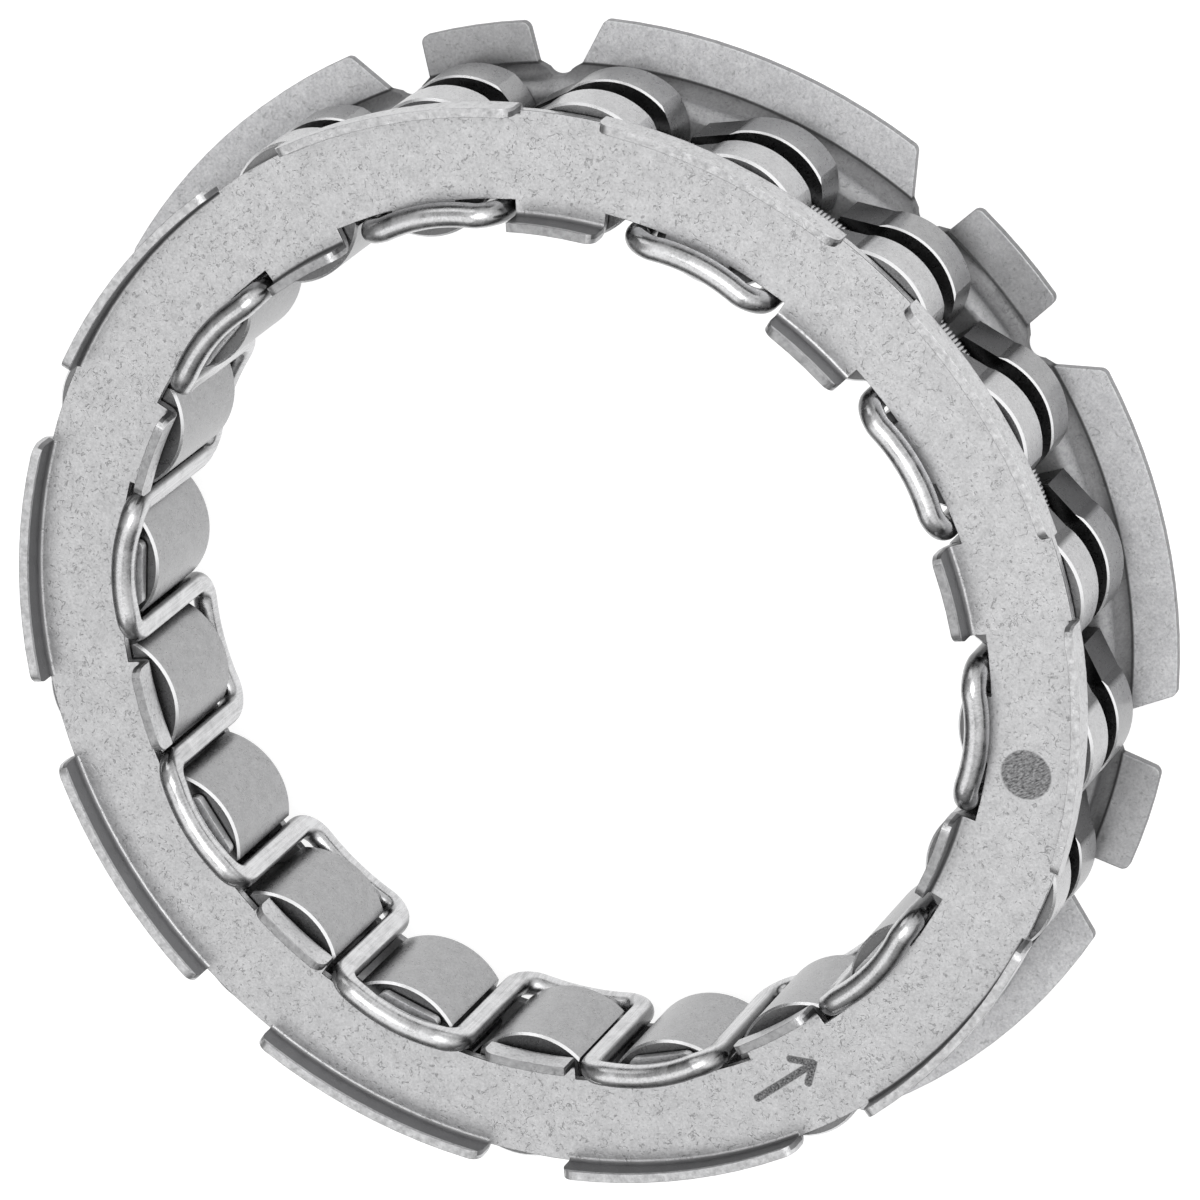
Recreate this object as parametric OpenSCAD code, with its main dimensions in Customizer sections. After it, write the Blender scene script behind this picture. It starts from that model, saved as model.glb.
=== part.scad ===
// Sprag clutch: a caged ring of twenty sprags between two stamped plates.
// Units are millimetres. The clutch lies on its rear flange, its axis is Z,
// the front plate is on top, and an outer lip is centred on the X axis.

/* [Ring] */

// radius of the circle of the axes that the sprags tilt about
pivot_r = 32.6; // [32:0.1:33]

// length of the whole clutch along its axis
clutch_length = 13.4; // [12.5:0.1:15]

// how far lips and flange tabs stand off their plates
lip_rise = 1.8; // [1.5:0.1:2]

// thickness of the steel sheet of both plates
sheet = 0.6; // [0.5:0.05:0.8]

/* [Front plate] */

// from the tilt axes out to the outer face of the outer lips
outer_lip_out = 4.1; // [3.9:0.05:4.4]

// from the tilt axes in to the inner face of the inner lips
inner_lip_in = 3.95; // [3.8:0.05:4.2]

// angle covered by one outer lip, in degrees
outer_lip_angle = 26.8; // [22:0.2:28]

// angle covered by one inner lip, in degrees
inner_lip_angle = 11.6; // [9:0.2:12]

// angle covered by the tongue under each wire arc, in degrees
tongue_angle = 9; // [7:0.2:10]

// radius of the free corners of the lips
lip_corner = 0.8; // [0.3:0.1:1]

/* [Rear flange] */

// from the tilt axes out to the line where the flat of a tab begins
tab_root_out = 3.4; // [3.2:0.1:4.4]

// radial width of the flat of a long tab
tab_width = 3; // [2.5:0.1:5]

// how much narrower the flat of a short tab is
short_tab_step = 0.3; // [0.1:0.05:0.6]

// angle covered by the rim of a long tab, in degrees
long_tab_angle = 32.8; // [26:0.2:34]

// angle covered by the root of a long tab, in degrees
long_root_angle = 37.8; // [34:0.2:39]

// angle covered by the rim of a short tab, in degrees
short_tab_angle = 11.4; // [8:0.2:13]

// angle covered by the root of a short tab, in degrees
short_root_angle = 12.4; // [11:0.2:14]

// turn of the first long tab away from the first outer lip, in degrees
tab_turn = -19.9; // [-30:0.1:30]

// radius of the free corners of the tabs
tab_corner = 0.55; // [0.3:0.05:0.8]

// how far the flat of a tab is coined below its root
coin_depth = 0.06; // [0.02:0.02:0.1]

/* [Sprags] */

// radius of the two rolling cams of a sprag
cam_r = 5; // [4.9:0.05:5.1]

// how far the outer cam reaches out from the tilt axis
crest_reach = 4.25; // [4.1:0.05:4.4]

// how far the inner cam reaches in from the tilt axis
heel_reach = 4.8; // [4.6:0.05:4.95]

// bevel around the ends of the cams
sprag_bevel = 0.16; // [0.1:0.02:0.3]

// bevel along the edges of the spring groove
groove_bevel = 0.12; // [0.06:0.02:0.2]

/* [Wire and spring] */

// diameter of the wire that laces the two plates together
wire_d = 1.6; // [1.5:0.1:1.7]

// from the tilt axes in to the wire where it runs along the clutch
wire_in = 3.25; // [3.2:0.05:3.3]

// how far the wire arcs over the front plate bulge outwards
front_bulge = 0.4; // [0.2:0.05:0.5]

// how far the wire arcs behind the rear flange bulge outwards
rear_bulge = 0.1; // [0:0.05:0.4]

// turn of the wire away from the plates, in degrees
wire_turn = -1; // [-1.2:0.1:0]

// outer diameter of the coiled ring spring
spring_d = 1.7; // [1.5:0.05:1.8]

// from the tilt axes out to the centre line of the spring
spring_out = 1.1; // [1:0.05:1.3]

// room at each side of the spring in the groove of a sprag
groove_room = 0.15; // [0.1:0.05:0.35]

/* [Output] */

// the sub-part to draw, or all of them

/* [Hidden] */

sprag_count = 20;
pitch = 360 / sprag_count;
arc_count = sprag_count / 2;
period = 2 * pitch;

// heights, from the floor up
rear_low = lip_rise;
rear_top = rear_low + sheet;
front_top = clutch_length - lip_rise;
front_low = front_top - sheet;
middle = clutch_length / 2;
sprag_gap = 0.15;
sprag_length = front_low - rear_top - 2 * sprag_gap;

// radii, set off from the circle of the tilt axes
lip_outer_r = pivot_r + outer_lip_out;
lip_inner_r = pivot_r - inner_lip_in;
tab_root_r = pivot_r + tab_root_out;
tab_rim_r = tab_root_r + tab_width;
wire_r = pivot_r - wire_in;
spring_r = pivot_r + spring_out;

// bends of the sheet: one centre serves the inside and the outside
bend_in = 0.3;
bend_out = bend_in + sheet;

// edges of the plates
wire_room = 0.1;
tongue_past_lip = 0.05;
web_past_lip = 0.05;
join = 0.6;
notch_r = wire_r + wire_d / 2 + wire_room;
tongue_r = lip_inner_r - tongue_past_lip;
tongue_corner = 0.5;
outer_bend_r = lip_outer_r - bend_out;
web_r = lip_outer_r - sheet + web_past_lip;

// flange wall between plate and tabs: two quarter bends that meet half way up
wall_in = 0.3;
wall_out = wall_in + sheet;
flare_r = lip_rise - wall_out;
wall_r = tab_root_r - flare_r;
crown_r = wall_r - wall_out;

// slots between the tabs: their sides run into a round end just off the wall
tab_count = 12;
tab_pitch = 360 / tab_count;
short_rim_r = tab_rim_r - short_tab_step;
slot_end_r = 1.1;
slot_off_wall = 0.1;
slot_join = 0.05;
slot_centre_r = wall_r + slot_off_wall + slot_end_r;

// how far a cutting shape reaches past what it cuts
past = 1;

// sprag outline: the tilt axis at the origin, points as [outwards, anticlockwise]
crest_side = -1.05;
heel_side = -0.2;
crest_out = crest_reach - cam_r;
heel_out = cam_r - heel_reach;
neighbour = pivot_r * tan(pitch / 2);
neighbour_gap = 0.8;
leg_gap = 0.3;
leg_over = 0.55;
leg_out = wire_r + wire_d / 2 + leg_over - pivot_r;
near_leg = wire_r * sin(pitch / 2 + wire_turn) - wire_d / 2 - leg_gap;
far_leg = wire_r * sin(pitch / 2 - wire_turn) - wire_d / 2 - leg_gap;
near_side = neighbour - neighbour_gap;
near_waist = 0.15;
near_rise = 1.1;
far_low = leg_out + 0.5;
far_rise = 1.7;

// narrow step and flat shoulder beside the outer cam
step_side = 1.8;
step_out = crest_out + sqrt(cam_r * cam_r - pow(step_side - crest_side, 2));
step_width = 0.35;
step_drop = 0.4;
shoulder_slope = 0.6;
shoulder_side = step_side + step_width;
shoulder_out = step_out - step_drop;
shoulder_low = shoulder_out - shoulder_slope * (near_side - shoulder_side);
shoulder_from = 1;

// groove for the spring
groove_width = spring_d + 2 * groove_room;
groove_floor = 0.4;
floor_r = spring_r - spring_d / 2 - groove_floor;
groove_low = (sprag_length - groove_width) / 2;
groove_high = (sprag_length + groove_width) / 2;

// wire, as rings of points along its lacing path
wire_clear = 0.02;
arc_high = front_top + wire_d / 2 + wire_clear;
arc_low = rear_low - wire_d / 2 - wire_clear;
bend_angle = 3;
bend_r = wire_r * bend_angle * PI / 180;
flat_depth = 0.77;
flat_from = acos(-flat_depth);
section_points = 10;

ring_facets = 144;
small_facets = 24;

function polar(r, a, z) = [r * cos(a), r * sin(a), z];

function spot(r, a) = [r * cos(a), r * sin(a)];

function unit(v) = v / norm(v);

// one half period of the wire: an arc at height "h" centred on angle "c" that bulges
// by "b", then the bend, the run along the axis and the start of the next bend
function half_lace(c, h, s, b) = concat(
  [for (a = [-2 : 2]) polar(wire_r + b * (1 - a * a / 4.4), c + 3 * a, h)],
  [for (t = [30 : 30 : 90])
    polar(wire_r, c + 6 + bend_angle * sin(t), h - s * bend_r * (1 - cos(t)))],
  [for (t = [0 : 30 : 60])
    polar(wire_r, c + 9 + bend_angle * (1 - cos(t)),
      (s > 0 ? arc_low : arc_high) + s * bend_r * (1 - sin(t)))]);

lace = [for (i = [0 : arc_count - 1])
  for (p = concat(half_lace(wire_turn + i * period, arc_high, 1, front_bulge),
                  half_lace(wire_turn + (i + 0.5) * period, arc_low, -1, rear_bulge))) p];

// outline of the wire: round, flattened on the side that faces the axis
section = [for (k = [0 : section_points - 1])
  let (a = flat_from * (2 * k / (section_points - 1) - 1))
  [cos(a), sin(a)] * wire_d / 2];

// corner points of the swept wire, ring after ring
function wire_points() = [for (i = [0 : len(lace) - 1])
  let (n = len(lace),
       here = lace[i],
       along = unit(lace[(i + 1) % n] - lace[(i + n - 1) % n]),
       out0 = unit([here.x, here.y, 0]),
       out = unit(out0 - along * (out0 * along)),
       side = cross(along, out))
  for (q = section) here + out * q.x + side * q.y];

function wire_faces() = [for (i = [0 : len(lace) - 1])
  let (n = len(lace), m = section_points, j = (i + 1) % n)
  for (k = [0 : m - 1])
    let (l = (k + 1) % m)
    [i * m + k, j * m + k, j * m + l, i * m + l]];

// a profile swept round the axis over "width" degrees, centred on "at"
module sector(at, width) {
  rotate([0, 0, at - width / 2])
    rotate_extrude(angle = width, $fn = ring_facets)
      children();
}

// quarter of a bend, from radius "a" out to radius "b", in the quadrant "x", "y"
module bend_profile(a, b, x, y) {
  difference() {
    intersection() {
      circle(r = b, $fn = 2 * small_facets);
      translate([x > 0 ? 0 : -b, y > 0 ? 0 : -b])
        square([b, b]);
    }
    circle(r = a, $fn = small_facets);
  }
}

// lip bent up from a plate: "s" is 1 at the outer edge, -1 at the inner edge
module lip_profile(r, s, root) {
  centre = r - s * bend_out;
  translate([min(root, centre), 0])
    square([abs(centre - root), sheet]);
  translate([centre, bend_out])
    bend_profile(bend_in, bend_out, s, -1);
  translate([min(r, r - s * sheet), bend_out])
    square([sheet, lip_rise + sheet - bend_out]);
}

// cuts the two free corners of a lip round, the lip centred on "at"
module lip_corners(at, width, r) {
  for (s = [-1, 1])
    rotate([0, 0, at + s * width / 2])
      translate([r - lip_rise, 0, lip_rise + sheet - lip_corner])
        difference() {
          translate([0, s > 0 ? -lip_corner : -past, 0])
            cube([2 * lip_rise, lip_corner + past, lip_corner + past]);
          translate([-past, -s * lip_corner, 0])
            rotate([0, 90, 0])
              cylinder(r = lip_corner, h = 2 * (lip_rise + past), $fn = small_facets);
        }
}

// rounded tongue that reaches in from the notch circle, centred on "at"
module tongue_outline(at) {
  half = tongue_r * tan(tongue_angle / 2);
  rotate([0, 0, at]) {
    translate([tongue_r + tongue_corner, -half])
      square([notch_r - tongue_r, 2 * half]);
    translate([tongue_r, tongue_corner - half])
      square([2 * tongue_corner, 2 * (half - tongue_corner)]);
    for (s = [-1, 1])
      translate([tongue_r + tongue_corner, s * (half - tongue_corner)])
        circle(r = tongue_corner, $fn = small_facets);
  }
}

// flat ring of a plate with evenly spaced tongues, the first one at "from"
module plate_blank(rim, from) {
  linear_extrude(sheet) {
    difference() {
      circle(r = rim, $fn = ring_facets);
      circle(r = notch_r, $fn = ring_facets);
    }
    for (i = [0 : arc_count - 1])
      tongue_outline(from + i * period);
  }
}

module front_plate() {
  color("#c9cacb")
    translate([0, 0, front_low])
      difference() {
        union() {
          plate_blank(web_r, 0);
          for (i = [0 : arc_count - 1]) {
            sector(i * period, outer_lip_angle)
              lip_profile(lip_outer_r, 1, outer_bend_r - join);
            sector((i + 0.5) * period, inner_lip_angle)
              lip_profile(lip_inner_r, -1, notch_r + join);
          }
        }
        for (i = [0 : arc_count - 1]) {
          lip_corners(i * period, outer_lip_angle, lip_outer_r);
          lip_corners((i + 0.5) * period, inner_lip_angle, lip_inner_r);
        }
      }
}

// flange section: edge of the plate, two opposite bends, and the flat of a tab
module tab_profile() {
  translate([crown_r - join, rear_low])
    square([join, sheet]);
  translate([crown_r, rear_top - wall_out])
    bend_profile(wall_in, wall_out, 1, 1);
  translate([tab_root_r, sheet + flare_r])
    bend_profile(flare_r, flare_r + sheet, -1, -1);
  translate([tab_root_r, 0])
    square([tab_width, sheet - coin_depth]);
}

// trims corner "c" to radius "r", where "a" and "b" run along its two edges
module trim_corner(c, a, b, r) {
  half = acos(a * b) / 2;
  inwards = unit(a + b);
  centre = c + inwards * r / sin(half);
  difference() {
    polygon([centre, c + a * r / tan(half), c - inwards * r, c + b * r / tan(half)]);
    translate(centre)
      circle(r = r, $fn = small_facets);
  }
}

// one side of a tab centred on angle zero: the slot edge and its rim corner
module slot_edge(rim, rim_angle, root_angle) {
  corner = spot(rim, rim_angle / 2);
  foot = spot(tab_root_r, root_angle / 2);
  along_rim = [sin(rim_angle / 2), -cos(rim_angle / 2)];
  trim_corner(corner, unit(foot - corner), along_rim, tab_corner);
}

// slot between a long tab centred on angle zero and the next short tab
module slot_outline() {
  long_foot = spot(tab_root_r, long_root_angle / 2);
  long_tip = spot(tab_rim_r, long_tab_angle / 2);
  short_foot = spot(tab_root_r, tab_pitch - short_root_angle / 2);
  short_tip = spot(short_rim_r, tab_pitch - short_tab_angle / 2);
  middle = tab_pitch / 2 + (long_root_angle - short_root_angle) / 4;
  end = spot(slot_centre_r, middle);
  polygon([long_foot, 2 * long_tip - long_foot, 2 * short_tip - short_foot, short_foot,
    end + spot(slot_end_r - slot_join, middle + 135),
    end + spot(slot_end_r - slot_join, middle - 135)]);
  translate(end)
    circle(r = slot_end_r, $fn = small_facets);
  slot_edge(tab_rim_r, long_tab_angle, long_root_angle);
  rotate([0, 0, tab_pitch])
    mirror([0, 1, 0])
      slot_edge(short_rim_r, short_tab_angle, short_root_angle);
}

// what a short tab lacks of the long tabs' rim, centred on angle zero
module rim_step() {
  difference() {
    polygon([[0, 0], spot(tab_rim_r + 2 * past, short_root_angle / 2),
      spot(tab_rim_r + 2 * past, -short_root_angle / 2)]);
    circle(r = short_rim_r, $fn = ring_facets);
  }
}

module tabs() {
  difference() {
    rotate_extrude($fn = ring_facets)
      tab_profile();
    translate([0, 0, -past])
      linear_extrude(rear_top + 2 * past)
        for (i = [0 : 2 : tab_count - 1])
          rotate([0, 0, tab_turn + i * tab_pitch]) {
            slot_outline();
            mirror([0, 1, 0])
              slot_outline();
            rotate([0, 0, tab_pitch])
              rim_step();
          }
  }
}

module rear_flange() {
  color("#c4c5c6") {
    translate([0, 0, rear_low])
      plate_blank(crown_r, pitch);
    tabs();
  }
}

module retainer_wire() {
  color("#d5d6d7")
    polyhedron(points = wire_points(), faces = wire_faces(), convexity = 10);
}

module garter_spring() {
  color("#8d8f92")
    translate([0, 0, middle])
      rotate_extrude($fn = ring_facets)
        translate([spring_r, 0])
          circle(d = spring_d, $fn = small_facets);
}

// half section of a cam with bevelled ends
plain_edge = [[0, 0], [cam_r - sprag_bevel, 0], [cam_r, sprag_bevel],
  [cam_r, sprag_length - sprag_bevel], [cam_r - sprag_bevel, sprag_length],
  [0, sprag_length]];

// the same, with a recess that leaves a bevel along both edges of the groove
grooved_edge = [[0, 0], [cam_r - sprag_bevel, 0], [cam_r, sprag_bevel],
  [cam_r, groove_low - groove_bevel], [cam_r - 2 * groove_bevel, groove_low + groove_bevel],
  [cam_r - 2 * groove_bevel, groove_high - groove_bevel], [cam_r, groove_high + groove_bevel],
  [cam_r, sprag_length - sprag_bevel], [cam_r - sprag_bevel, sprag_length],
  [0, sprag_length]];

// disc that a cam is part of, turned from half section "edge"
module cam_disc(out, side, edge) {
  translate([out, side, 0])
    rotate_extrude($fn = 3 * small_facets)
      polygon(edge);
}

// flanks of a sprag: they clear the wire below and the neighbours above
flanks = [[-heel_reach - past, near_leg], [leg_out, near_leg],
  [leg_out + near_rise, near_side - near_waist], [shoulder_low, near_side],
  [shoulder_out, shoulder_side], [step_out + step_drop, step_side - step_width],
  [crest_reach + past, step_side - step_width], [crest_reach + past, -neighbour],
  [far_low + far_rise, -neighbour], [far_low, -far_leg], [-heel_reach - past, -far_leg]];

// shoulder for the spring, which stands out past the outer cam
shoulder = [[leg_out + near_rise, shoulder_from], [leg_out, near_leg],
  [leg_out + near_rise, near_side - near_waist], [shoulder_low, near_side],
  [shoulder_out, shoulder_side], [shoulder_out, shoulder_from]];

module sprag_body() {
  intersection() {
    cam_disc(crest_out, crest_side, grooved_edge);
    cam_disc(heel_out, heel_side, plain_edge);
    linear_extrude(sprag_length)
      polygon(flanks);
  }
  linear_extrude(sprag_length)
    polygon(shoulder);
}

module sprag(i) {
  color("#b4b6b8")
    rotate([0, 0, i * pitch])
      difference() {
        translate([pivot_r, 0, rear_top + sprag_gap])
          sprag_body();
        translate([0, 0, middle - groove_width / 2])
          difference() {
            cylinder(r = pivot_r + crest_reach + past, h = groove_width, $fn = ring_facets);
            translate([0, 0, -past])
              cylinder(r = floor_r, h = groove_width + 2 * past, $fn = ring_facets);
          }
      }
}

front_plate();
rear_flange();
retainer_wire();
garter_spring();
sprag(0);  // sprag_01
sprag(1);  // sprag_02
sprag(2);  // sprag_03
sprag(3);  // sprag_04
sprag(4);  // sprag_05
sprag(5);  // sprag_06
sprag(6);  // sprag_07
sprag(7);  // sprag_08
sprag(8);  // sprag_09
sprag(9);  // sprag_10
sprag(10);  // sprag_11
sprag(11);  // sprag_12
sprag(12);  // sprag_13
sprag(13);  // sprag_14
sprag(14);  // sprag_15
sprag(15);  // sprag_16
sprag(16);  // sprag_17
sprag(17);  // sprag_18
sprag(18);  // sprag_19
sprag(19);  // sprag_20
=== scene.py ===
from math import cos, pi, radians, sin

import bpy
from mathutils import Matrix, Vector


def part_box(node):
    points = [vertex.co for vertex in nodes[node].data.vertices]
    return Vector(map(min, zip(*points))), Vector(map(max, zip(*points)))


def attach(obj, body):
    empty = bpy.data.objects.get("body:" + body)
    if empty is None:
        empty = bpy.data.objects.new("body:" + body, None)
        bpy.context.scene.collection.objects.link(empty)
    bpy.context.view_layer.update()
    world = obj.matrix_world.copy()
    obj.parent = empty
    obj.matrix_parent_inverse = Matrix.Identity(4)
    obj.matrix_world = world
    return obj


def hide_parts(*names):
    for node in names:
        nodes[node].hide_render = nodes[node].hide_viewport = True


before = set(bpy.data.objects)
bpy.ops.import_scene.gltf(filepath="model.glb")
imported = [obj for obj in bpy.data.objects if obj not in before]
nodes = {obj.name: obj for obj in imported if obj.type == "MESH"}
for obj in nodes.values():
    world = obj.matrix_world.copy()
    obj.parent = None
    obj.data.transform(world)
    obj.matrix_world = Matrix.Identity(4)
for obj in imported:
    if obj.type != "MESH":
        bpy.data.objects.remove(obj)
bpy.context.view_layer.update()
MM = 0.001


# Rear flange: one ring of cold rolled spring steel strip, blanked, joggled and
# tumbled after heat treatment. Its long tabs stand free and come out pale; painted
# shade darkens the short ones, and most of all the bent wall that carries both.
def tone(hex_value):
    """An sRGB hex colour such as "c8c8c8", as the linear colour that shaders take."""
    parts = [int(hex_value[i:i + 2], 16) / 255 for i in (0, 2, 4)]
    return [p / 12.92 if p <= 0.04045 else ((p + 0.055) / 1.055) ** 2.4 for p in parts] + [1]


def add_node(tree, kind, inputs=None, **settings):
    """Adds a node, makes its settings, and fills or links its inputs that are in use."""
    made = tree.nodes.new(kind)
    for name, value in settings.items():
        setattr(made, name, value)
    for name, value in (inputs or {}).items():
        socket = made.inputs[name] if isinstance(name, int) else next(
            s for s in made.inputs if s.name == name and s.enabled)
        if isinstance(value, bpy.types.NodeSocket):
            tree.links.new(value, socket)
        else:
            socket.default_value = value
    return made


def steel(name):
    """A bare steel: its own metal shader, which each finish below fills in."""
    made = bpy.data.materials.new(name)
    made.use_nodes = True
    tree = made.node_tree
    tree.nodes.clear()
    shader = add_node(tree, "ShaderNodeBsdfPrincipled", {"Metallic": 1.0})
    add_node(tree, "ShaderNodeOutputMaterial", {"Surface": shader.outputs[0]})
    place = add_node(tree, "ShaderNodeTexCoord").outputs["Object"]
    return made, tree, shader, place


# A colour mix gives its colour at this output.
MIXED = 2


def tumbled_skin(tree, place, grain_mm, cloud_mm, dark, light, pit_depth):
    """Colour and height of a tumbled skin: grit marks over faint clouds, and small open pits."""
    grain = add_node(tree, "ShaderNodeTexNoise", {"Vector": place, "Scale": 1 / (grain_mm * MM),
                     "Detail": 3.0, "Roughness": 0.65}).outputs["Fac"]
    cloud = add_node(tree, "ShaderNodeTexNoise", {"Vector": place, "Scale": 1 / (cloud_mm * MM),
                     "Detail": 4.0, "Roughness": 0.6}).outputs["Fac"]
    marks = add_node(tree, "ShaderNodeMix", {"Factor": 0.35, "A": grain, "B": cloud}).outputs[0]
    level = add_node(tree, "ShaderNodeMapRange",
                     {"Value": marks, "From Min": 0.34, "From Max": 0.66}).outputs[0]
    skin = add_node(tree, "ShaderNodeMix", {"Factor": level, "A": tone(dark), "B": tone(light)},
                    data_type="RGBA").outputs[MIXED]
    pit_size = 0.45 * MM
    spots = add_node(tree, "ShaderNodeTexNoise", {"Vector": place, "Scale": 1 / pit_size,
                     "Detail": 3.0, "Roughness": 0.7, "Distortion": 1.5}).outputs["Fac"]
    open_pit = add_node(tree, "ShaderNodeMapRange", {"Value": spots, "From Min": 0.57,
                        "From Max": 0.67, "To Max": pit_depth}).outputs[0]
    pitted = add_node(tree, "ShaderNodeMix", {"Factor": open_pit, "A": skin, "B": tone("5c5c5d")},
                      data_type="RGBA").outputs[MIXED]
    height = add_node(tree, "ShaderNodeMath", {0: open_pit, 1: -2.0, 2: marks},
                      operation="MULTIPLY_ADD").outputs[0]
    return pitted, height


def relief(tree, shader, height, depth_mm, edge_mm):
    """Raises the surface by a height, over edges that the tumbling has rounded."""
    edge = add_node(tree, "ShaderNodeBevel", {"Radius": edge_mm * MM}, samples=6)
    made = add_node(tree, "ShaderNodeBump", {"Height": height, "Distance": depth_mm * MM,
                    "Normal": edge.outputs[0]})
    tree.links.new(made.outputs[0], shader.inputs["Normal"])


def flattened(tree, place):
    """A place moved along the clutch's axis to the rear face, so its length is its radius."""
    return add_node(tree, "ShaderNodeVectorMath", {0: place, 1: (1, 1, 0)},
                    operation="MULTIPLY").outputs[0]


def levelness(tree):
    """1 where a face looks straight up or down, and 0 where it stands upright."""
    normal = add_node(tree, "ShaderNodeTexCoord").outputs["Normal"]
    rise = add_node(tree, "ShaderNodeSeparateXYZ", {0: normal}).outputs["Z"]
    return add_node(tree, "ShaderNodeMath", {0: rise}, operation="ABSOLUTE").outputs[0]


# Tumbled spring strip: satin grey, with grit marks of about a fifth of a
# millimetre, and clouds a millimetre across where the scale came off unevenly.
tumbled_flange, tree, shader, place = steel("tumbled_spring_strip")
skin, marks = tumbled_skin(tree, place, grain_mm=0.2, cloud_mm=1.0, dark="ceced0", light="f0f0f1",
                           pit_depth=0.3)
relief(tree, shader, marks, depth_mm=0.005, edge_mm=0.14)

# The tabs start at this radius, six long and six short by turns, and a cosine
# round the ring tells which is which. The wall rises from the tabs to the plate.
tab_root_r = 36.0 * MM
tab_turn = -19.9
long_from = -0.6
root_from = tab_root_r - 0.05 * MM
root_to = tab_root_r + 0.15 * MM
wall_foot = 0.55 * MM
wall_top = 2.3 * MM
parts = add_node(tree, "ShaderNodeSeparateXYZ", {0: place})
radius = add_node(tree, "ShaderNodeVectorMath", {0: flattened(tree, place)},
                  operation="LENGTH").outputs["Value"]
angle = add_node(tree, "ShaderNodeMath", {0: parts.outputs["Y"], 1: parts.outputs["X"]},
                 operation="ARCTAN2").outputs[0]
sixfold = add_node(tree, "ShaderNodeMath", {0: angle, 1: 6.0, 2: -6 * radians(tab_turn)},
                   operation="MULTIPLY_ADD").outputs[0]
round_wave = add_node(tree, "ShaderNodeMath", {0: sixfold}, operation="COSINE").outputs[0]
long_tab = add_node(tree, "ShaderNodeMath", {0: round_wave, 1: long_from},
                    operation="GREATER_THAN").outputs[0]
on_tab = add_node(tree, "ShaderNodeMapRange",
                  {"Value": radius, "From Min": root_from, "From Max": root_to}).outputs[0]
# Painted shade on the wall: darkest at its foot by the tabs, lighter towards the plate.
painted_shade_up_wall = add_node(tree, "ShaderNodeMapRange", {"Value": parts.outputs["Z"], "From Min": wall_foot,
                   "From Max": wall_top, "To Min": 0.28, "To Max": 0.6}).outputs[0]
wall_shade = add_node(tree, "ShaderNodeMath", {0: on_tab, 1: painted_shade_up_wall},
                      operation="MAXIMUM").outputs[0]

# The sheared edges of the tabs are dull, and a line of painted shade runs along the crease at their
# root.
line_core = 0.04 * MM
line_edge = 0.12 * MM
sheared = add_node(tree, "ShaderNodeMapRange", {"Value": levelness(tree), "From Min": 0.2,
                   "From Max": 0.7, "To Min": 0.45, "To Max": 1.0}).outputs[0]
off_tab = add_node(tree, "ShaderNodeMath", {0: 1.0, 1: on_tab}, operation="SUBTRACT").outputs[0]
edge_shade = add_node(tree, "ShaderNodeMath", {0: sheared, 1: off_tab},
                      operation="MAXIMUM").outputs[0]
past_root = add_node(tree, "ShaderNodeMath", {0: radius, 1: tab_root_r},
                     operation="SUBTRACT").outputs[0]
to_root = add_node(tree, "ShaderNodeMath", {0: past_root}, operation="ABSOLUTE").outputs[0]
painted_root_shade = add_node(tree, "ShaderNodeMapRange", {"Value": to_root, "From Min": line_core,
                       "From Max": line_edge, "To Min": 0.4, "To Max": 1.0}).outputs[0]
# Painted shade: the short tabs, which would mirror the dark clutch body, are darkened.
painted_short_tab_shade = add_node(tree, "ShaderNodeMapRange",
                     {"Value": long_tab, "To Min": 0.74, "To Max": 1.0}).outputs[0]
body_shade = add_node(tree, "ShaderNodeMath", {0: wall_shade, 1: edge_shade},
                      operation="MULTIPLY").outputs[0]
line_shade = add_node(tree, "ShaderNodeMath", {0: painted_root_shade, 1: painted_short_tab_shade},
                      operation="MULTIPLY").outputs[0]
all_shades = add_node(tree, "ShaderNodeMath", {0: body_shade, 1: line_shade},
                      operation="MULTIPLY").outputs[0]
shaded = add_node(tree, "ShaderNodeMix", {"Factor": 1.0, "A": skin, "B": all_shades},
                  data_type="RGBA", blend_type="MULTIPLY").outputs[MIXED]
tree.links.new(shaded, shader.inputs["Base Color"])
gloss = add_node(tree, "ShaderNodeMapRange",
                 {"Value": long_tab, "To Min": 0.5, "To Max": 0.68}).outputs[0]
tree.links.new(gloss, shader.inputs["Roughness"])

flange = nodes["rear_flange"]
flange.data.materials.clear()
flange.data.materials.append(tumbled_flange)


# Sprags: twenty pieces sawn from a drawn bar of bearing steel, hardened and
# barrel polished. Their two cams come out satin, the bevels carry a painted highlight,
# and painted shade lies on the ends, the inner cam, the shoulder and the rear of the outer cam.
polished_bar, tree, shader, place = steel("barrel_polished_bearing_steel")
skin, marks = tumbled_skin(tree, place, grain_mm=0.16, cloud_mm=0.9, dark="a6a6a7", light="c6c6c7",
                           pit_depth=0.25)
relief(tree, shader, marks, depth_mm=0.004, edge_mm=0.02)

# The inner cam lies inside this radius, and painted shade darkens it. The outer one
# gets painted shade towards the flange, whose dark wall it would mirror, and ends
# beside the shoulder at this distance from the sprag's middle.
inner_cam_to = 31.0 * MM
cam_blend = 0.5 * MM
shoulder_from = 1.5 * MM
shoulder_at = 1.8 * MM
rear_depth = 1.0 * MM
sprag_pitch = 18
half_pitch = radians(sprag_pitch / 2)
parts = add_node(tree, "ShaderNodeSeparateXYZ", {0: place})
radius = add_node(tree, "ShaderNodeVectorMath", {0: flattened(tree, place)},
                  operation="LENGTH").outputs["Value"]
painted_inner_cam_shade = add_node(tree, "ShaderNodeMapRange", {"Value": radius,
                       "From Min": inner_cam_to - cam_blend, "From Max": inner_cam_to + cam_blend,
                       "To Min": 0.74, "To Max": 1.0}).outputs[0]
inside = add_node(tree, "ShaderNodeMath", {0: radius, 1: inner_cam_to},
                  operation="LESS_THAN").outputs[0]
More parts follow.
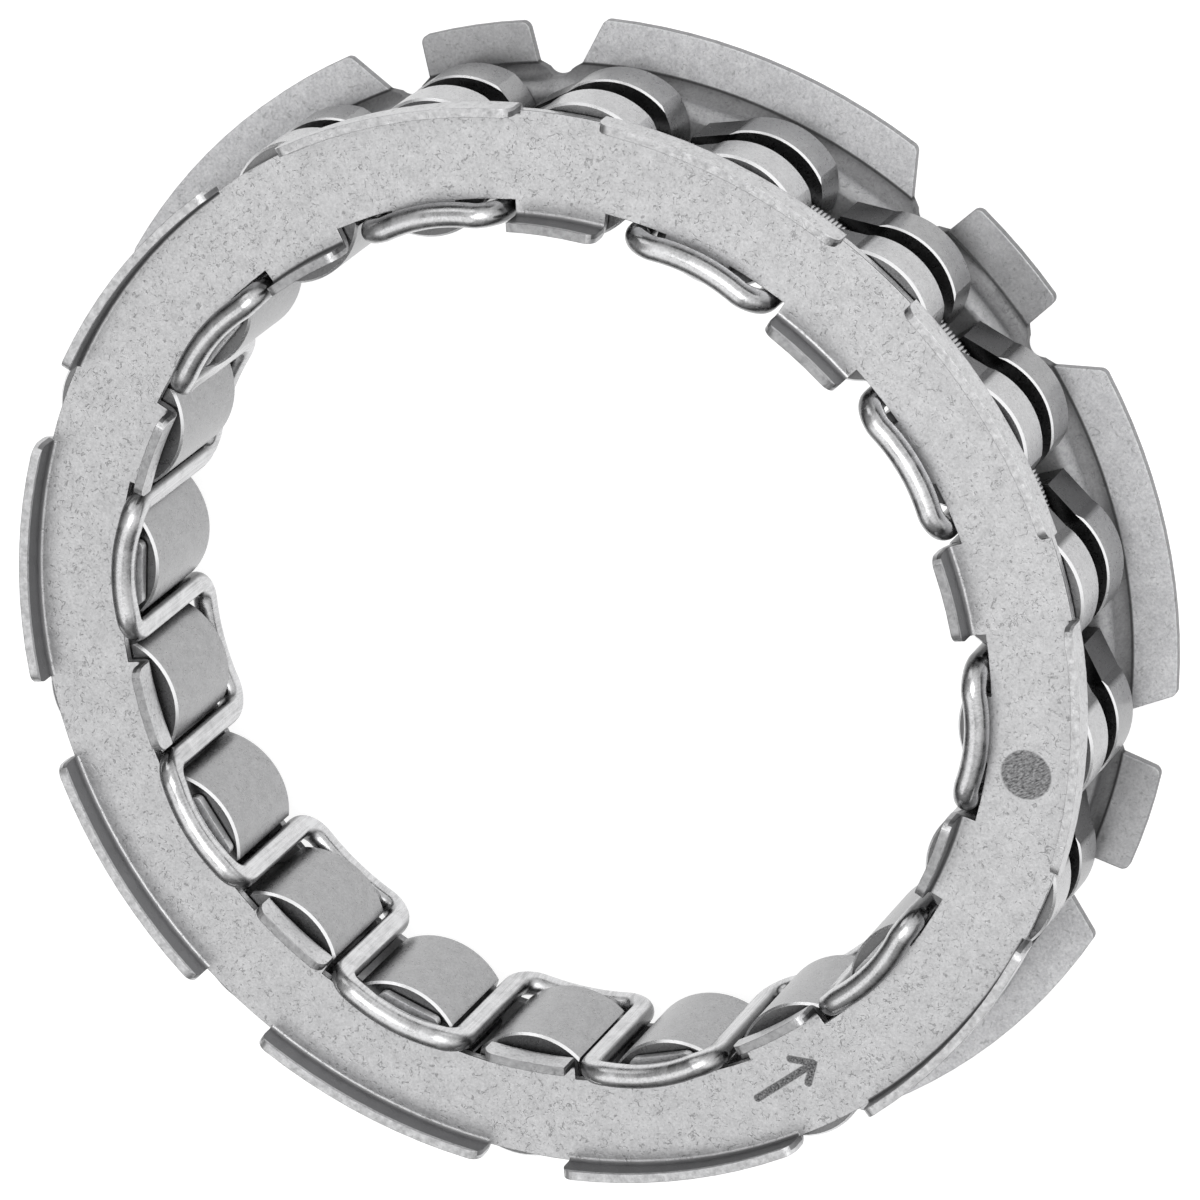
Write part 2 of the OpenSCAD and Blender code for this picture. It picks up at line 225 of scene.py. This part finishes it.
angle = add_node(tree, "ShaderNodeMath", {0: parts.outputs["Y"], 1: parts.outputs["X"]},
                 operation="ARCTAN2").outputs[0]
own_angle = add_node(tree, "ShaderNodeMath", {0: angle, 1: half_pitch, 2: -half_pitch},
                     operation="WRAP").outputs[0]
sine = add_node(tree, "ShaderNodeMath", {0: own_angle}, operation="SINE").outputs[0]
to_side = add_node(tree, "ShaderNodeMath", {0: radius, 1: sine}, operation="MULTIPLY").outputs[0]
# Painted shade: the shoulder beside the outer cam, towards the next sprag, is darkened.
past_cam = add_node(tree, "ShaderNodeMapRange", {"Value": to_side, "From Min": shoulder_from,
                    "From Max": shoulder_at, "To Min": 1.0, "To Max": 0.3}).outputs[0]
painted_shoulder_shade = add_node(tree, "ShaderNodeMath", {0: past_cam, 1: inside},
                      operation="MAXIMUM").outputs[0]
mid_height = (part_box("sprag_01")[0].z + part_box("sprag_01")[1].z) / 2
off_middle = add_node(tree, "ShaderNodeMath", {0: parts.outputs["Z"], 1: mid_height},
                      operation="SUBTRACT").outputs[0]
painted_rear_cam_shade = add_node(tree, "ShaderNodeMapRange", {"Value": off_middle, "From Min": -rear_depth,
                    "From Max": 0.0, "To Min": 0.66, "To Max": 1.0}).outputs[0]
rear_shade = add_node(tree, "ShaderNodeMath", {0: painted_rear_cam_shade, 1: inside},
                      operation="MAXIMUM").outputs[0]
level_face = levelness(tree)
# Painted shade: the level end faces, which sit under the plates, are darkened.
painted_end_shade = add_node(tree, "ShaderNodeMapRange", {"Value": level_face, "From Min": 0.85,
                    "From Max": 0.95, "To Min": 1.0, "To Max": 0.4}).outputs[0]
body_shade = add_node(tree, "ShaderNodeMath", {0: painted_inner_cam_shade, 1: painted_shoulder_shade},
                      operation="MULTIPLY").outputs[0]
end_shade = add_node(tree, "ShaderNodeMath", {0: rear_shade, 1: painted_end_shade},
                     operation="MULTIPLY").outputs[0]
all_shades = add_node(tree, "ShaderNodeMath", {0: body_shade, 1: end_shade},
                      operation="MULTIPLY").outputs[0]
shaded = add_node(tree, "ShaderNodeMix", {"Factor": 1.0, "A": skin, "B": all_shades},
                  data_type="RGBA", blend_type="MULTIPLY").outputs[MIXED]

# Faces at 45 degrees are the bevels, which get a painted highlight.
bevel_spread = 0.12
off_bevel = add_node(tree, "ShaderNodeMath", {0: level_face, 1: cos(pi / 4)},
                     operation="SUBTRACT").outputs[0]
from_bevel = add_node(tree, "ShaderNodeMath", {0: off_bevel}, operation="ABSOLUTE").outputs[0]
painted_bevel_highlight = add_node(tree, "ShaderNodeMath", {0: from_bevel, 1: bevel_spread},
                    operation="LESS_THAN").outputs[0]
painted_highlight_bevels = add_node(tree, "ShaderNodeMix", {"Factor": painted_bevel_highlight, "A": shaded, "B": tone("dededf")},
                    data_type="RGBA").outputs[MIXED]
tree.links.new(painted_highlight_bevels, shader.inputs["Base Color"])
gloss = add_node(tree, "ShaderNodeMapRange", {"Value": marks, "From Min": 0.3, "From Max": 0.7,
                 "To Min": 0.26, "To Max": 0.38}).outputs[0]
tree.links.new(gloss, shader.inputs["Roughness"])

# The edge of a sprag's inner cam runs on unbroken at the height of the spring groove,
# so a short prism fills it there: along the cam, up the flank and back into the body.
axis_r = 32.6 * MM
cam_r = 5.0 * MM
cam_centre = (0.2 * MM, -0.2 * MM)
flank_side = 2.985 * MM
corner_from = 2.25 * MM
corner_back = -3.15 * MM
corner_half = 1.15 * MM
corner_steps = 8
corner_outline = []
for step in range(corner_steps + 1):
    side = corner_from + (flank_side - corner_from) * step / corner_steps
    out = cam_centre[0] - (cam_r ** 2 - (side - cam_centre[1]) ** 2) ** 0.5
    corner_outline.append((axis_r + out, side))
corner_outline.append((axis_r + corner_back, flank_side))

for name, node in nodes.items():
    if name.startswith("sprag_"):
        node.data.materials.clear()
        node.data.materials.append(polished_bar)
        turn = Matrix.Rotation(radians(sprag_pitch * (int(name[-2:]) - 1)), 3, "Z")
        lower = [turn @ Vector((x, y, mid_height - corner_half)) for x, y in corner_outline]
        upper = [turn @ Vector((x, y, mid_height + corner_half)) for x, y in corner_outline]
        count = len(corner_outline)
        faces = [tuple(range(count)), tuple(range(2 * count - 1, count - 1, -1))]
        for i in range(count):
            j = (i + 1) % count
            faces.append((i, i + count, j + count, j))
        mesh = bpy.data.meshes.new(name + "_corner")
        mesh.from_pydata(lower + upper, [], faces)
        mesh.materials.append(polished_bar)
        corner = bpy.data.objects.new(name + "_corner", mesh)
        bpy.context.scene.collection.objects.link(corner)
        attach(corner, name)


# Garter spring: music wire wound into a close coil, its ends joined to make
# a ring. It lies in the grooves and pushes every sprag against both races.
ring_low, ring_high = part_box("garter_spring")
coil_d = ring_high.z - ring_low.z
ring_height = (ring_low.z + ring_high.z) / 2
ring_r = ring_high.x - coil_d / 2
coil_wire_d = 0.29 * MM
coil_pitch = 0.295 * MM
coil_turns = round(2 * pi * ring_r / coil_pitch)
steps_per_turn = 14
coil_sides = 6


def swept_ring(name, path, normals, outlines):
    """A closed tube round a closed path, with one outline, (across, along the normal), at each point."""
    corners = []
    count = len(path)
    for i, here in enumerate(path):
        along = (path[(i + 1) % count] - path[i - 1]).normalized()
        out = (normals[i] - along * normals[i].dot(along)).normalized()
        side = along.cross(out)
        corners += [here + out * b + side * a for a, b in outlines[i]]
    sides = len(outlines[0])
    faces = []
    for i in range(count):
        j = (i + 1) % count
        for k in range(sides):
            m = (k + 1) % sides
            faces.append((i * sides + k, i * sides + m, j * sides + m, j * sides + k))
    mesh = bpy.data.meshes.new(name)
    mesh.from_pydata(corners, [], faces)
    mesh.shade_smooth()
    mesh.update()
    piece = bpy.data.objects.new(name, mesh)
    bpy.context.scene.collection.objects.link(piece)
    return piece


coil_path = []
coil_normals = []
for i in range(coil_turns * steps_per_turn):
    turn = 2 * pi * i / steps_per_turn
    around = 2 * pi * i / (coil_turns * steps_per_turn)
    outward = Vector((cos(around), sin(around), 0))
    lean = outward * cos(turn) + Vector((0, 0, 1)) * sin(turn)
    centre = outward * ring_r + Vector((0, 0, ring_height))
    coil_path.append(centre + lean * (coil_d - coil_wire_d) / 2)
    coil_normals.append(lean)
coil_outline = []
for k in range(coil_sides):
    a = 2 * pi * k / coil_sides
    coil_outline.append((sin(a) * coil_wire_d / 2, cos(a) * coil_wire_d / 2))
coils = swept_ring("garter_coils", coil_path, coil_normals, [coil_outline] * len(coil_path))

# Drawn music wire: bright where it is round, with an oil film that comes and
# goes over a few millimetres.
music_wire, tree, shader, place = steel("drawn_music_wire")
shader.inputs["Roughness"].default_value = 0.28
film = add_node(tree, "ShaderNodeTexNoise", {"Vector": place, "Scale": 1 / (2.5 * MM),
                "Detail": 3.0}).outputs["Fac"]
oiled = add_node(tree, "ShaderNodeMix", {"Factor": film, "A": tone("8f8f90"), "B": tone("cfcfd0")},
                 data_type="RGBA").outputs[MIXED]
tree.links.new(oiled, shader.inputs["Base Color"])
coils.data.materials.append(music_wire)
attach(coils, "cage")
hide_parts("garter_spring")


# Front plate: the same strip as the flange, blanked with lips on both edges that
# are turned up square. The ends of the lips are sheared rough, and the upper face
# has an arrow struck into it and one round spot milled flat.
front_strip, tree, shader, place = steel("tumbled_plate_strip")
skin, marks = tumbled_skin(tree, place, grain_mm=0.18, cloud_mm=1.2, dark="b0b0b1", light="d4d4d5",
                           pit_depth=0.5)
flat_place = flattened(tree, place)
radius = add_node(tree, "ShaderNodeVectorMath", {0: flat_place}, operation="LENGTH").outputs["Value"]
height = add_node(tree, "ShaderNodeSeparateXYZ", {0: place}).outputs["Z"]

arrow_tail = Vector((-4.14, -32.58, 0)) * MM
arrow_tip = Vector((0.81, -32.10, 0)) * MM
upper_barb = Vector((-0.52, -31.18, 0)) * MM
lower_barb = Vector((-0.31, -33.13, 0)) * MM
stroke_w = 0.5 * MM
stroke_edge = 0.08 * MM
upper_face_from = 11.5 * MM


def to_stroke(tree, place, start, end):
    """Distance from a straight stroke with round ends."""
    run = end - start
    off = add_node(tree, "ShaderNodeVectorMath", {0: place, 1: start},
                   operation="SUBTRACT").outputs[0]
    along = add_node(tree, "ShaderNodeVectorMath", {0: off, 1: run},
                     operation="DOT_PRODUCT").outputs["Value"]
    share = add_node(tree, "ShaderNodeMapRange",
                     {"Value": along, "From Max": run.dot(run)}).outputs[0]
    foot = add_node(tree, "ShaderNodeVectorMath", {0: run, "Scale": share},
                    operation="SCALE").outputs[0]
    return add_node(tree, "ShaderNodeVectorMath", {0: off, 1: foot},
                    operation="DISTANCE").outputs["Value"]


# The arrow is struck, and its floor is burnt in dark patches.
shaft = to_stroke(tree, flat_place, arrow_tail, arrow_tip)
upper = to_stroke(tree, flat_place, upper_barb, arrow_tip)
lower = to_stroke(tree, flat_place, lower_barb, arrow_tip)
barbs = add_node(tree, "ShaderNodeMath", {0: upper, 1: lower}, operation="MINIMUM").outputs[0]
nearest = add_node(tree, "ShaderNodeMath", {0: shaft, 1: barbs}, operation="MINIMUM").outputs[0]
above = add_node(tree, "ShaderNodeMath", {0: height, 1: upper_face_from},
                 operation="GREATER_THAN").outputs[0]
struck = add_node(tree, "ShaderNodeMapRange", {"Value": nearest,
                  "From Min": (stroke_w - stroke_edge) / 2, "From Max": (stroke_w + stroke_edge) / 2,
                  "To Min": 1.0, "To Max": 0.0}).outputs[0]
arrow = add_node(tree, "ShaderNodeMath", {0: struck, 1: above}, operation="MULTIPLY").outputs[0]
burnt = add_node(tree, "ShaderNodeTexNoise", {"Vector": place, "Scale": 1 / (0.14 * MM),
                 "Detail": 3.0, "Roughness": 0.7}).outputs["Fac"]
burnt_level = add_node(tree, "ShaderNodeMapRange",
                       {"Value": burnt, "From Min": 0.35, "From Max": 0.65}).outputs[0]
burnt_skin = add_node(tree, "ShaderNodeMix", {"Factor": burnt_level, "A": tone("343435"),
                      "B": tone("909091")}, data_type="RGBA").outputs[MIXED]
marked = add_node(tree, "ShaderNodeMix", {"Factor": arrow, "A": skin, "B": burnt_skin},
                  data_type="RGBA").outputs[MIXED]

# The spot is milled with a small cutter, which leaves a dark, torn grain.
spot_centre = Vector((24.98, -21.35, 0)) * MM
spot_r = 1.67 * MM
spot_edge = 0.06 * MM
milling_turn = radians(80)
to_spot = add_node(tree, "ShaderNodeVectorMath", {0: flat_place, 1: spot_centre},
                   operation="DISTANCE").outputs["Value"]
in_spot = add_node(tree, "ShaderNodeMapRange", {"Value": to_spot, "From Min": spot_r - spot_edge,
                   "From Max": spot_r + spot_edge, "To Min": 1.0, "To Max": 0.0}).outputs[0]
spot_top = add_node(tree, "ShaderNodeMath", {0: in_spot, 1: above}, operation="MULTIPLY").outputs[0]
turned = add_node(tree, "ShaderNodeMapping", {"Vector": flat_place, "Rotation": (0, 0, milling_turn),
                  "Scale": (0.4, 1, 1)}).outputs[0]
milling = add_node(tree, "ShaderNodeTexNoise", {"Vector": turned, "Scale": 1 / (0.13 * MM),
                   "Detail": 3.0, "Roughness": 0.7}).outputs["Fac"]
milled_level = add_node(tree, "ShaderNodeMapRange",
                        {"Value": milling, "From Min": 0.36, "From Max": 0.64}).outputs[0]
milled = add_node(tree, "ShaderNodeMix", {"Factor": milled_level, "A": tone("4e4e4f"),
                  "B": tone("a2a2a3")}, data_type="RGBA").outputs[MIXED]
spotted = add_node(tree, "ShaderNodeMix", {"Factor": spot_top, "A": marked, "B": milled},
                   data_type="RGBA").outputs[MIXED]

# The walls of the lips that face each other, down to their bends, get painted shade.
lip_end_from = 13.34 * MM
wall_to = 13.14 * MM
mid_plate_r = 32.7 * MM
half_band = 3.75 * MM
upright = add_node(tree, "ShaderNodeMapRange", {"Value": levelness(tree), "From Min": 0.8,
                   "From Max": 0.96, "To Min": 1.0, "To Max": 0.0}).outputs[0]
off_band = add_node(tree, "ShaderNodeMath", {0: radius, 1: mid_plate_r},
                    operation="SUBTRACT").outputs[0]
to_band = add_node(tree, "ShaderNodeMath", {0: off_band}, operation="ABSOLUTE").outputs[0]
in_band = add_node(tree, "ShaderNodeMath", {0: to_band, 1: half_band},
                   operation="LESS_THAN").outputs[0]
inner_wall = add_node(tree, "ShaderNodeMath", {0: upright, 1: in_band},
                      operation="MULTIPLY").outputs[0]
below_end = add_node(tree, "ShaderNodeMath", {0: height, 1: wall_to},
                     operation="LESS_THAN").outputs[0]
wall_part = add_node(tree, "ShaderNodeMath", {0: below_end, 1: above},
                     operation="MULTIPLY").outputs[0]
painted_lip_wall_shade = add_node(tree, "ShaderNodeMath", {0: inner_wall, 1: wall_part},
                     operation="MULTIPLY").outputs[0]
with_lip_wall_shade = add_node(tree, "ShaderNodeMix", {"Factor": painted_lip_wall_shade, "A": spotted, "B": tone("7a7a7b")},
                  data_type="RGBA").outputs[MIXED]

# The ends of the lips are torn by the shears, darker at the inner lips.
tears = add_node(tree, "ShaderNodeTexNoise", {"Vector": flat_place, "Scale": 1 / (0.5 * MM),
                 "Detail": 4.0, "Roughness": 0.7}).outputs["Fac"]
outer_lip = add_node(tree, "ShaderNodeMath", {0: radius, 1: mid_plate_r},
                     operation="GREATER_THAN").outputs[0]
torn_dark = add_node(tree, "ShaderNodeMix", {"Factor": outer_lip, "A": tone("8c8c8d"),
                     "B": tone("a8a8a9")}, data_type="RGBA").outputs[MIXED]
torn_light = add_node(tree, "ShaderNodeMix", {"Factor": outer_lip, "A": tone("b4b4b5"),
                      "B": tone("dcdcdd")}, data_type="RGBA").outputs[MIXED]
torn_level = add_node(tree, "ShaderNodeMapRange",
                      {"Value": tears, "From Min": 0.3, "From Max": 0.7}).outputs[0]
torn = add_node(tree, "ShaderNodeMix", {"Factor": torn_level, "A": torn_dark, "B": torn_light},
                data_type="RGBA").outputs[MIXED]
lip_end = add_node(tree, "ShaderNodeMath", {0: height, 1: lip_end_from},
                   operation="GREATER_THAN").outputs[0]
finished = add_node(tree, "ShaderNodeMix", {"Factor": lip_end, "A": with_lip_wall_shade, "B": torn},
                    data_type="RGBA").outputs[MIXED]
tree.links.new(finished, shader.inputs["Base Color"])
gloss = add_node(tree, "ShaderNodeMapRange", {"Value": marks, "From Min": 0.3, "From Max": 0.7,
                 "To Min": 0.38, "To Max": 0.48}).outputs[0]
tree.links.new(gloss, shader.inputs["Roughness"])
sunk = add_node(tree, "ShaderNodeMath", {0: arrow, 1: -2.0, 2: marks},
                operation="MULTIPLY_ADD").outputs[0]
relief(tree, shader, sunk, depth_mm=0.008, edge_mm=0.06)

front_plate = nodes["front_plate"]
front_plate.data.materials.clear()
front_plate.data.materials.append(front_strip)


# Retainer wire: one length of round stainless wire, bent to and fro between
# the plates and butt joined. Its straight runs are ground flat on the inside,
# and the pliers and the tumbling have left marks on its bends.
wire_low, wire_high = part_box("retainer_wire")
wire_d = 1.6 * MM
wire_r = 29.35 * MM
front_bulge = 0.25 * MM
rear_bulge = 0.1 * MM
wire_turn = -1.0
half_period = 18
arc_count = 10
arc_half = 6
arc_steps = 12
bulge_spread = 1.1
run_angle = 9
bend_angle = 3
bend_step = 10
run_shares = (0.25, 0.5, 0.75)
bend_r = wire_r * radians(bend_angle)
high_z = wire_high.z - wire_d / 2
low_z = wire_low.z + wire_d / 2
flat_depth = 0.77
wire_sides = 36


def on_ring(radius, angle, z):
    """A point at a radius, an angle in degrees and a height."""
    return Vector((radius * cos(radians(angle)), radius * sin(radians(angle)), z))


# Each half period is an arc, a bend, a straight run along the axis and the start
# of the next bend. The arcs bulge outwards, most in their middle.
wire_path = []
for half in range(2 * arc_count):
    centre = wire_turn + half * half_period
    in_front = half % 2 == 0
    here, there = (high_z, low_z) if in_front else (low_z, high_z)
    bulge = front_bulge if in_front else rear_bulge
    down = 1 if in_front else -1
    for step in range(-arc_steps, arc_steps + 1):
        share = step / arc_steps
        arc_r = wire_r + bulge * (1 - share * share / bulge_spread)
        wire_path.append(on_ring(arc_r, centre + arc_half * share, here))
    for t in range(bend_step, 90 + bend_step, bend_step):
        wire_path.append(on_ring(wire_r, centre + arc_half + bend_angle * sin(radians(t)),
                                 here - down * bend_r * (1 - cos(radians(t)))))
    for share in run_shares:
        z = (here - down * bend_r) * (1 - share) + (there + down * bend_r) * share
        wire_path.append(on_ring(wire_r, centre + run_angle, z))
    for t in range(0, 90, bend_step):
        wire_path.append(on_ring(wire_r, centre + run_angle + bend_angle * (1 - cos(radians(t))),
                                 there + down * bend_r * (1 - sin(radians(t)))))
wire_normals = [Vector((p.x, p.y, 0)).normalized() for p in wire_path]
wire_outlines = []
for p in wire_path:
    to_arc = min(high_z - p.z, p.z - low_z) / bend_r
    ground = flat_depth + (1 - flat_depth) * max(0, 1 - to_arc)
    turns = [2 * pi * k / wire_sides for k in range(wire_sides)]
    wire_outlines.append([(sin(a) * wire_d / 2, max(cos(a), -ground) * wire_d / 2) for a in turns])
lacing = swept_ring("lacing_wire", wire_path, wire_normals, wire_outlines)

# Stainless wire: bright, with scuffs a millimetre or two long on the arcs, fine
# grinding lines along the flats of the straight runs, and painted shade on the flanks.
bright_wire, tree, shader, place = steel("bright_stainless_wire")
scuffs = add_node(tree, "ShaderNodeTexNoise", {"Vector": place, "Scale": 1 / (1.4 * MM),
                  "Detail": 4.0, "Roughness": 0.6, "Distortion": 0.6}).outputs["Fac"]
drawn_out = add_node(tree, "ShaderNodeMapping", {"Vector": place, "Scale": (1, 1, 0.04)}).outputs[0]
grinding = add_node(tree, "ShaderNodeTexNoise", {"Vector": drawn_out, "Scale": 1 / (0.16 * MM),
                    "Detail": 3.0, "Roughness": 0.7}).outputs["Fac"]
wire_marks = add_node(tree, "ShaderNodeMix", {"Factor": 0.5, "A": scuffs, "B": grinding}).outputs[0]
wire_level = add_node(tree, "ShaderNodeMapRange",
                      {"Value": wire_marks, "From Min": 0.3, "From Max": 0.6}).outputs[0]
wire_skin = add_node(tree, "ShaderNodeMix", {"Factor": wire_level, "A": tone("a0a0a1"),
                     "B": tone("d6d6d7")}, data_type="RGBA").outputs[MIXED]
outward = add_node(tree, "ShaderNodeVectorMath", {0: flattened(tree, place)},
                   operation="NORMALIZE").outputs[0]
normal = add_node(tree, "ShaderNodeTexCoord").outputs["Normal"]
faces_out = add_node(tree, "ShaderNodeVectorMath", {0: normal, 1: outward},
                     operation="DOT_PRODUCT").outputs["Value"]
across = add_node(tree, "ShaderNodeMath", {0: faces_out}, operation="ABSOLUTE").outputs[0]
open_side = add_node(tree, "ShaderNodeMath", {0: across, 1: levelness(tree)},
                     operation="MAXIMUM").outputs[0]
# Painted shade: the flanks of the wire, facing along the ring, are darkened.
flank = add_node(tree, "ShaderNodeMapRange", {"Value": open_side, "From Min": 0.5, "From Max": 0.9,
                 "To Min": 0.3, "To Max": 1.0}).outputs[0]
wire_tone = add_node(tree, "ShaderNodeMix", {"Factor": 1.0, "A": wire_skin, "B": flank},
                     data_type="RGBA", blend_type="MULTIPLY").outputs[MIXED]
tree.links.new(wire_tone, shader.inputs["Base Color"])
gloss = add_node(tree, "ShaderNodeMapRange", {"Value": scuffs, "From Min": 0.4, "From Max": 0.65,
                 "To Min": 0.2, "To Max": 0.36}).outputs[0]
tree.links.new(gloss, shader.inputs["Roughness"])
relief(tree, shader, wire_marks, depth_mm=0.003, edge_mm=0.06)
lacing.data.materials.append(bright_wire)
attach(lacing, "cage")
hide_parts("retainer_wire")


# Studio: a white table under large soft lights, seen through a long lens. The
# clutch lies on its flange, and the camera looks down on it from one side.
def softbox(name, place, size, radiance):
    """A square area lamp at a place, in metres, that faces the clutch with an even brightness."""
    lamp = bpy.data.lights.new(name, "AREA")
    lamp.shape = "SQUARE"
    lamp.size = size
    lamp.energy = radiance * pi * size * size
    made = bpy.data.objects.new(name, lamp)
    bpy.context.scene.collection.objects.link(made)
    made.location = place
    made.rotation_euler = (-Vector(place)).to_track_quat("-Z", "Y").to_euler()


table_size = 6.0
table_gap = 0.02 * MM
edge = table_size / 2
table_corners = [(-edge, -edge, 0), (edge, -edge, 0), (edge, edge, 0), (-edge, edge, 0)]
table_mesh = bpy.data.meshes.new("table_top")
table_mesh.from_pydata(table_corners, [], [(0, 1, 2, 3)])
table = bpy.data.objects.new("table_top", table_mesh)
table.location.z = -table_gap
bpy.context.scene.collection.objects.link(table)

# White laminate, seen by the camera and by the steel as a plain white that
# still takes the shadow of the clutch.
white_table = bpy.data.materials.new("white_laminate_table")
white_table.use_nodes = True
tree = white_table.node_tree
tree.nodes.clear()
paint = add_node(tree, "ShaderNodeBsdfDiffuse", {"Color": tone("e6e6e6")})
lit = add_node(tree, "ShaderNodeBsdfDiffuse", {"Color": tone("9c9c9c")})
glow = add_node(tree, "ShaderNodeEmission", {"Color": (1, 1, 1, 1), "Strength": 0.86})
seen = add_node(tree, "ShaderNodeAddShader", {0: lit.outputs[0], 1: glow.outputs[0]})
path = add_node(tree, "ShaderNodeLightPath")
direct = add_node(tree, "ShaderNodeMath", {0: path.outputs["Is Camera Ray"],
                  1: path.outputs["Is Glossy Ray"]}, operation="MAXIMUM")
white_ray = add_node(tree, "ShaderNodeMath", {0: direct.outputs[0],
                     1: path.outputs["Is Transmission Ray"]}, operation="MAXIMUM")
pick = add_node(tree, "ShaderNodeMixShader", {0: white_ray.outputs[0], 1: paint.outputs[0],
                2: seen.outputs[0]})
add_node(tree, "ShaderNodeOutputMaterial", {"Surface": pick.outputs[0]})
table_mesh.materials.append(white_table)

# The room is dark low down and pale overhead, with one white wall on the side of
# the camera, which the bevels and the round of the wire mirror.
white_wall = Vector((0.86, 0.0, 0.5))
wall_light = (1.3, 1.3, 1.3, 1)
world = bpy.data.worlds.new("studio")
bpy.context.scene.world = world
world.use_nodes = True
tree = world.node_tree
tree.nodes.clear()
heading = add_node(tree, "ShaderNodeTexCoord").outputs["Generated"]
rise = add_node(tree, "ShaderNodeSeparateXYZ", {0: heading}).outputs["Z"]
climb = add_node(tree, "ShaderNodeMapRange",
                 {"Value": rise, "From Min": 0.1, "From Max": 0.9}).outputs[0]
room = add_node(tree, "ShaderNodeMix", {"Factor": climb, "A": tone("404040"), "B": tone("c4c4c4")},
                data_type="RGBA").outputs[MIXED]
facing = add_node(tree, "ShaderNodeVectorMath", {0: heading, 1: white_wall},
                  operation="DOT_PRODUCT").outputs["Value"]
wall_share = add_node(tree, "ShaderNodeMapRange",
                      {"Value": facing, "From Min": 0.35, "From Max": 0.75}).outputs[0]
walls = add_node(tree, "ShaderNodeMix", {"Factor": wall_share, "A": room, "B": wall_light},
                 data_type="RGBA").outputs[MIXED]
sky = add_node(tree, "ShaderNodeBackground", {"Color": walls, "Strength": 1.0})
add_node(tree, "ShaderNodeOutputWorld", {"Surface": sky.outputs[0]})

softbox("key", (-0.49, -0.11, 0.865), size=0.7, radiance=0.8)
softbox("overhead", (0.25, 0.06, 1.0), size=0.6, radiance=2.8)
softbox("side", (0.1, 0.95, 0.45), size=0.5, radiance=1.4)

# The lens and its place were found by matching the lips and tabs to the view.
camera_data = bpy.data.cameras.new("camera")
camera_data.sensor_width = 36
camera_data.lens = 224.73
camera_data.clip_end = 20
camera = bpy.data.objects.new("camera", camera_data)
bpy.context.scene.collection.objects.link(camera)
right = Vector((0.77043, -0.51932, -0.36978))
up = Vector((0.40856, 0.84746, -0.33895))
back = right.cross(up)
stand = Vector((239.863, 53.908, 426.244)) * MM
camera.matrix_world = Matrix.Translation(stand) @ Matrix((right, up, back)).transposed().to_4x4()
bpy.context.scene.camera = camera

bpy.context.scene.view_settings.view_transform = "Standard"
